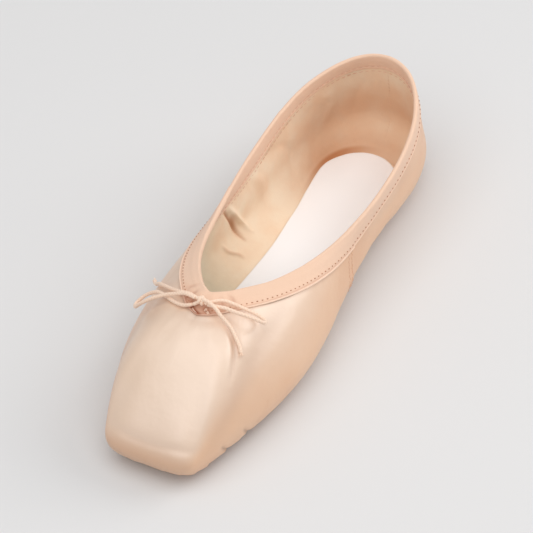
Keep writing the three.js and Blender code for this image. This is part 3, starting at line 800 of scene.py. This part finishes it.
def makeBinding():
    places = placesRound(binding["rowsPerRib"], *seamRows)
    edge, channel, inside = (np.array(binding[name]).T[:, None] for name in ("edge", "channel", "inside"))
    outDown = np.concatenate([bindingDepth(places) - edge[0], channel[0] + 0 * places], 1)
    out = np.concatenate([edge[1], channel[1]], 1)
    outer, normal, level = skin.at(places, outDown)
    lift, shade = relief(outer, "binding")
    puff = gather(places, outDown) * np.clip(out / 0.5, 0, 1)
    raised = out + seamStep(places, level) + puff + lift - thinned(outDown)
    outer = outer + normal * np.maximum(raised, 0.02 - thinned(outDown))[..., None]
    down, into = inside
    inner, normal, _ = skin.at(places, down)
    puff = 0.6 * gather(places, down) * np.clip(into / 0.5, 0, 1)
    inner = inner - normal * (into + shoe["wall"] - thinned(down) + puff)[..., None]
    turn = np.linspace(0, math.pi, binding["topSteps"] + 2)[1:-1]
    middle, half = 0.5 * (outer[:, -1] + inner[:, 0]), 0.5 * (outer[:, -1] - inner[:, 0])
    rise = binding["topRise"] + 0.15 * wander(skin.rimAt(places), 6, 34)
    up = unit(skin.at(places[:, 0], 0)[0] - skin.at(places[:, 0], 1)[0]) * rise
    top = np.stack([middle + half * math.cos(a) + up * math.sin(a) for a in turn], 1)
    grid = np.concatenate([outer, top, inner], 1)
    across = np.concatenate([[0], np.cumsum(np.linalg.norm(np.diff(grid, axis=1), axis=2).mean(0))])
    cloth = np.stack([skin.roundAt(places) + 0 * across, across + 0 * places], -1)
    fromEdge = bindingDepth(places) - outDown
    # painted shade where the drawstring draws the throat in and along the stitch groove; the roll mark is a
    # painted highlight on the rolled lower edge
    drawn = binding["drawnShade"] * hill(skin.rimAt(places), -2, 10) * ease(outDown, 4, 8)
    foldShade = np.clip(shade + binding["grooveShade"] * hill(fromEdge, 1.05, 0.22) + drawn, 0, 1)
    marks = {"foldShade": widen(foldShade, grid), "roll": widen(hill(fromEdge, 0.3, 0.45), grid)}
    addGrid("folded_binding", grid, "binding", cloth, marks, ["collar_binding"], turned=True)


makeBinding()
print("binding made")


# plates follow the sole's outline; each is a closed loop of points across the shoe, from toe to heel
plate = {"rows": 420, "across": 30, "soften": 16, "darkTo": 0.45}
outsole = {
    "insets": [(0, 0), (lastRib, 0)],
    "side": [
        (3.4, 0), (3.0, 0.2), (2.6, 0), (1.3, 0), (0.7, 0.04), (0.35, 0.2), (0.1, 0.5), (0, 0.85), (0, 1.05),
        (0.12, 1.2), (0, 1.35), (0, 1.8), (0.08, 2.05), (0.3, 2.2), (1.2, 2.2),
    ],
}
insole = {
    "insets": [  # place, and how far inside the sole's outline
        (0, 2.2), (5, 2.6), (6.4, 4.2), (7.5, 5.8), (8.3, 4.4), (9.1, 1.4), (9.9, -1.2), (10.9, 0), (12, 1.7),
        (13, 2.2), (15, 2.2),
    ],
    "side": [(1.0, 0), (0.1, 0), (0, 0.2), (0, 1.05), (0.1, 1.35), (0.35, 1.55), (0.8, 1.6), (1.6, 1.6)],
}


def makePlate(name, shape, bottom, slot, stands):
    places = np.linspace(0, lastRib, plate["rows"])
    soft = np.hanning(2 * plate["soften"] + 1)
    inset = np.pad(np.interp(places, *zip(*shape["insets"])), plate["soften"], "edge")
    inset = np.convolve(inset, soft / soft.sum(), "valid")
    edge = []
    for more, height in shape["side"]:
        plan = soleOutline(places, inset + more)
        z = bottom + soleRise(plan[:, 1]) + height
        edge.append(np.stack([np.maximum(plan[:, 0], 0), plan[:, 1] - shoe["length"] / 2, z], -1))
    right = np.stack(edge, 1)
    left = right[:, ::-1] * (-1, 1, 1)
    part = np.linspace(0, 1, plate["across"] + 2)[1:-1][None, :, None]
    over = right[:, -1:] + (left[:, :1] - right[:, -1:]) * part
    under = left[:, -1:] + (right[:, :1] - left[:, -1:]) * part
    grid = np.concatenate([right, over, left, under, right[:, :1]], 1)
    dark = [float(more < plate["darkTo"]) for more, _ in shape["side"]]
    flat = [0.0] * plate["across"]
    edges = np.tile(dark + flat + dark[::-1] + flat + dark[:1], (plate["rows"], 1))
    addGrid(name, grid, slot, grid[..., :2], {"edge": edges}, stands, closed=False, turned=True)


makePlate("leather_sole", outsole, 0, "leather", ["outsole"])
makePlate("insole_board", insole, soleTop + shoe["wall"] + shoe["gap"], "board", ["insole"])
print("sole and insole made")


# back tape: sewn over the back seam, from the binding to the sole
backTape = {
    "width": 17, "neck": 10, "neckLevel": 1.5, "top": 9.3, "bottomGap": 1.4, "rows": 90, "seam": 0.83,
    "half": [  # share of the half width, and how far out from the satin
        (0, 0.87), (0.12, 0.84), (0.3, 0.8), (0.5, 0.8), (0.7, 0.8), (0.78, 0.76), (0.83, 0.64), (0.88, 0.76),
        (0.94, 0.78), (0.975, 0.68), (0.995, 0.45), (1, 0.02),
    ],
}


def acrossTape(down, share):  # places near the heel, by their share of the tape's half width
    level = float(skin.at(lastRib, down)[2])
    more = (backTape["width"] - backTape["neck"]) * ease(level, backTape["neckLevel"], 3)
    sideways = 0.5 * (backTape["neck"] + more) * share
    fine = np.linspace(lastRib - 3.2, lastRib + 3.2, 321)
    return np.interp(sideways, -skin.at(fine, down)[0][:, 0], fine), sideways


def makeBackTape():
    bottom = float(skin.depthAt(lastRib)) - backTape["bottomGap"]
    downs = np.linspace(backTape["top"], bottom, backTape["rows"])
    left = [(-share, height) for share, height in backTape["half"][:0:-1]]
    across, height = np.array(left + backTape["half"]).T
    rows, cloth = [], []
    for down in downs:
        places, sideways = acrossTape(down, across)
        points, normals, _ = skin.at(places, down)
        end = min(1, (down - downs[0]) / 0.8 + 0.1, (downs[-1] - down) / 0.8 + 0.1)
        rows.append(points + normals * (height * end)[:, None])
        cloth.append(np.stack([sideways, down + 0 * across], -1))
    # painted shade along the stitched grooves
    foldShade = np.tile(hill(abs(across), backTape["seam"], 0.03), (len(downs), 1))
    addGrid("back_tape", np.stack(rows), "tape", np.stack(cloth), {"foldShade": foldShade}, ["back_strip"],
            closed=False, turned=True)


makeBackTape()
print("back tape made")


# the drawstring's bow; each route starts at the knot, and the loops come back to it
bow = {
    "diameter": 1.6, "knot": (0.3, -63.3, 56.3), "sides": 16, "step": 0.3, "braid": 0.02, "braidPitch": 1.5,
    "knotRadius": 0.78, "wrap": {"from": -0.3, "turns": 1.08, "half": (0.8, 1.45, 1.15)},
    "fibres": 9, "fibreRadius": 0.13, "fibreLengths": (1.4, 2.4), "spread": (0.45, 0.15, 0.55),
    "bow_loop_right": [
        [-2.4, -63.6, 57.0], [-7.4, -62.8, 56.6], [-13.0, -62.6, 54.1], [-18.0, -63.2, 51.8],
        [-23.5, -64.4, 48.5], [-28.6, -64.7, 43.9], [-32.2, -63.4, 39.4], [-33.5, -60.3, 38.1],
        [-30.6, -57.7, 41.4], [-24.8, -57.7, 46.0], [-19.6, -60.1, 48.5], [-15.6, -62.7, 50.2],
        [-11.3, -64.8, 51.6], [-7.1, -65.7, 52.7], [-3.1, -65.1, 54.2],
    ],
    "bow_loop_left": [
        [3.3, -62.3, 55.6], [7.8, -59.1, 55.6], [12.5, -57.1, 53.5], [17.2, -55.5, 50.9],
        [21.3, -54.6, 49.1], [24.8, -55.3, 48.3], [26.1, -57.6, 49.2], [24.1, -59.8, 51.9],
        [20.0, -61.1, 53.7], [15.5, -62.3, 55.0], [10.8, -62.7, 55.7], [7.0, -63.4, 55.7],
        [3.3, -64.3, 56.0],
    ],
    "bow_end_right": [
        [-2.6, -62.1, 55.5], [-7.3, -60.5, 54.8], [-11.9, -59.3, 52.8], [-16.8, -57.3, 50.4],
        [-22.0, -54.3, 47.4], [-27.6, -50.3, 43.2], [-31.6, -46.5, 38.2], [-33.9, -43.9, 36.7],
    ],
    "bow_end_left": [
        [-1.0, -62.6, 57.0], [1.4, -63.6, 57.6], [4.6, -64.2, 57.4], [7.6, -65.0, 56.2],
        [10.4, -65.8, 53.9], [13.0, -66.2, 51.9], [15.7, -67.1, 50.1], [18.2, -68.8, 48.4],
        [20.1, -70.2, 47.0], [21.9, -71.5, 45.4], [23.0, -73.0, 44.1],
    ],
}


def alongRoute(route, step):
    raw = curveThrough(np.array(route, float)[None], np.linspace(0, len(route) - 1, 60 * len(route)))[0]
    far = walkAlong(raw)
    even = np.linspace(0, far[-1], int(far[-1] / step) + 2)
    return readAt(even, far, raw), even


def tube(path, even, radius, braided=True):  # points, faces, cloth and painted shade between the braid's strands, of a round cord
    sides, braid = bow["sides"], bow["braid"] if braided else 0
    run = unit(np.gradient(path, axis=0))
    x = unit(np.cross(run[0], (0.1, 0.2, 1.0)))
    turn = np.arange(sides) * 2 * math.pi / sides
    rows, cloth, foldShade = [], [], []
    for middle, direction, far in zip(path, run, even):
        x = unit(x - direction * x.dot(direction))
        y = np.cross(direction, x)
        twist = 2 * math.pi * far / bow["braidPitch"]
        strands = np.maximum(np.cos(3 * turn + twist), np.cos(3 * turn - twist))
        toEnd = min(far, even[-1] - far, 0.5 * radius) / (0.5 * radius)
        rounded = math.sqrt(1 - max(0, 0.98 - toEnd) ** 2)
        r = radius * rounded + braid * (strands - 0.7)
        rows.append(middle + np.outer(r * np.cos(turn), x) + np.outer(r * np.sin(turn), y))
        cloth.append(np.stack([turn * radius, far + 0 * turn], -1))
        foldShade.append(np.clip(0.6 - strands, 0, 1))
    walls = len(rows) * sides
    pairs = [(a, (a + 1) % sides) for a in range(sides)]
    faces = ringFaces(len(rows), sides) + [[walls, b, a] for a, b in pairs]
    faces += [[walls + 1, walls - sides + a, walls - sides + b] for a, b in pairs]
    points = np.concatenate(rows + [path[:1], path[-1:]])
    return points, faces, np.concatenate(cloth + [np.zeros((2, 2))]), np.concatenate(foldShade + [np.zeros(2)])


def addTubes(name, parts, stands):
    points, faces, cloth, foldShade = joinParts(parts)
    return addPiece(name, points, faces, "cord", cloth, {"foldShade": foldShade}, stands)


def makeKnot():
    x, y, z = bow["knot"]
    wide, shadedTone, high = bow["wrap"]["half"]
    turn = np.linspace(bow["wrap"]["from"], 2 * math.pi * bow["wrap"]["turns"], 14)
    right, left = bow["bow_loop_right"], bow["bow_loop_left"]
    routes = [
        [(x - wide + 2 * wide * t / 6.6, y - shadedTone * math.cos(t), z + high * math.sin(t)) for t in turn],
        [right[0], (x - 0.6, y, z + 0.9), (x + 0.9, y - 0.9, z + 0.3), bow["bow_end_left"][0]],
        [left[-1], (x + 0.6, y + 0.3, z + 0.5), (x - 0.8, y + 0.7, z + 0.2), bow["bow_end_right"][0]],
        [right[-1], (x - 0.5, y - 0.6, z - 0.4), (x + 1.4, y + 0.3, z - 0.2), left[0]],
    ]
    return addTubes("wrapped_knot", [tube(*alongRoute(route, 0.25), bow["knotRadius"]) for route in routes],
                    ["bow_knot"])


def fibres(end, onward):  # loose cotton threads where the drawstring was cut
    onward, made = unit(onward), []
    inside, middle, outside = bow["spread"]
    for k in range(bow["fibres"]):
        away = dice.uniform(-1, 1, 3)
        away -= onward * away.dot(onward)
        start = end - onward * 0.5 + inside * away
        tip = start + onward * dice.uniform(*bow["fibreLengths"]) + outside * away
        route = alongRoute([start, start + onward * 0.9 + middle * away, tip], 0.3)
        made.append(tube(*route, bow["fibreRadius"], braided=False))
    return made


def makeBow():
    knot = makeKnot()
    for name in ("bow_loop_right", "bow_loop_left", "bow_end_right", "bow_end_left"):
        path, even = alongRoute(bow[name], bow["step"])
        loop = "loop" in name
        frayed = [] if loop else fibres(path[-1], path[-1] - path[-6])
        cord = addTubes("drawn_" + name, [tube(path, even, 0.5 * bow["diameter"])] + frayed, [name])
        print(name, "is", round(float(even[-1]), 1), "mm long")


makeBow()
print("bow made")


# stitches: short capsules of thread along a line on the satin, the lining or the tape
thread = {
    "diameter": 0.34, "sides": 6,
    "sections": [(0, 0.5), (0.12, 0.9), (0.35, 1), (0.65, 1), (0.88, 0.9), (1, 0.5)],
    "outsideRow": 2.2, "insideRows": [(5.3, 0.38), (8.6, 0.02)],  # up from the edge; down from the collar
    "zigzag": {"rows": (0.075, 0.21), "from": 9.6, "step": 1.25, "sway": 0.032},
}


def stitchesAlong(points, normals, length, space, diameter=thread["diameter"]):
    radius, sides, sections = 0.5 * diameter, thread["sides"], thread["sections"]
    far = walkAlong(points)
    turn = np.arange(sides) * 2 * math.pi / sides
    last = (len(sections) - 1) * sides
    faces = ringFaces(len(sections), sides) + [list(range(sides))[::-1], list(range(last, last + sides))]
    made = []
    for start in np.arange(0.5 * space, far[-1] - length, length + space):
        rings = []
        for share, fat in sections:
            at = start + share * length
            middle, up = readAt(at, far, points), unit(readAt(at, far, normals))
            side = unit(np.cross(unit(readAt(at + 0.2, far, points) - middle), up))
            lift = radius * (0.55 - 3.84 * (share - 0.5) ** 2)
            ring = np.outer(np.cos(turn), side) + np.outer(np.sin(turn), up)
            rings.append(middle + up * lift + fat * radius * ring)
        made.append((np.concatenate(rings), faces))
    return joinParts(made)


def addStitches(name, rows, finish="thread"):
    addPiece(name, *joinParts(rows), "tape", finish=finish)


def onSatin(places, down, out):
    points, normals, level = skin.at(places, down)
    return points + normals * (out + seamStep(places, level))[..., None], normals


def onLining(places, down, into):
    points, normals, _ = skin.at(places, down)
    return points - normals * (shoe["wall"] + into), -normals


def makeStitches():
    around = np.linspace(0.35, aroundAll - 0.35, 3000)
    outside = onSatin(around, bindingDepth(around) - thread["outsideRow"], 0.44)
    # the outside stitches use the darker thread as painted shade in their pinholes
    addStitches("binding_stitches_outside", [stitchesAlong(*outside, 0.9, 1.7, 0.5)], "shaded sunk thread")
    inside = [onLining(around, down, into) for down, into in thread["insideRows"]]
    addStitches("binding_stitches_inside", [stitchesAlong(*row, 1.9, 0.9) for row in inside])
    tape = []
    downs = np.linspace(backTape["top"] + 0.4, float(skin.depthAt(lastRib)) - 2.2, 120)
    for side in (1, -1):
        places = [acrossTape(down, side * backTape["seam"])[0] for down in downs]
        points, normals, _ = skin.at(np.array(places), downs)
        tape.append(stitchesAlong(points + normals * 0.62, normals, 2.0, 0.8))
    addStitches("tape_stitches", tape)
    rows, zigzag = [], thread["zigzag"]
    for place, way in ((seam["place"], 1), (aroundAll - seam["place"], -1)):
        steps = np.arange(zigzag["from"], float(skin.depthAt(place)) - 1.5, zigzag["step"])
        turns = np.arange(len(steps))
        fine = np.linspace(0, turns[-1], 12 * len(steps))
        for away in zigzag["rows"]:
            sway = np.where(turns % 2, zigzag["sway"], -zigzag["sway"])
            corners = onSatin(place - way * (away + sway), steps, 0.02)
            rows.append(stitchesAlong(*(readAt(fine, turns, values) for values in corners), 1.32, 0.2, 0.26))
    addStitches("side_seam_zigzag", rows)


makeStitches()
print("stitches made")


# studio: a pale floor and soft light
studio = {
    "floor": (222, 222, 223), "floorHalf": 6, "world": 0.43,
    "lights": [  # name, place in metres, aimed at, size, watts, colour
        ("top softbox", (0.12, -0.55, 1.5), (0, -0.02, 0.02), 2.3, 18.7, (1, 0.99, 0.975)),
        ("side softbox", (1.05, 1.1, 1.0), (0, 0, 0.02), 1.5, 13, (1, 0.98, 0.96)),
    ],
}


def makeStudio():
    mesh = bpy.data.meshes.new("floor")
    far = studio["floorHalf"]
    mesh.from_pydata([(-far, -far, 0), (far, -far, 0), (far, far, 0), (-far, far, 0)], [], [[0, 1, 2, 3]])
    floor = bpy.data.objects.new("floor", mesh)
    scene.collection.objects.link(floor)
    fixed = {"Base Color": paint(*studio["floor"]), "Roughness": 0.9}
    mesh.materials.append(Finish("studio floor", 0.2, **fixed).material)
    for name, place, aim, size, watts, colour in studio["lights"]:
        light = bpy.data.lights.new(name, "AREA")
        light.shape, light.size, light.energy, light.color = "DISK", size, watts, colour
        lamp = bpy.data.objects.new(name, light)
        lamp.location = place
        lamp.rotation_euler = (Vector(aim) - Vector(place)).to_track_quat("-Z", "Y").to_euler()
        scene.collection.objects.link(lamp)
    world = bpy.data.worlds.new("studio air")
    scene.world = world
    world.use_nodes = True
    air = world.node_tree.nodes["Background"].inputs
    air["Color"].default_value, air["Strength"].default_value = (1, 1, 1, 1), studio["world"]
    scene.view_settings.view_transform = "Standard"


makeStudio()
print("studio lit")
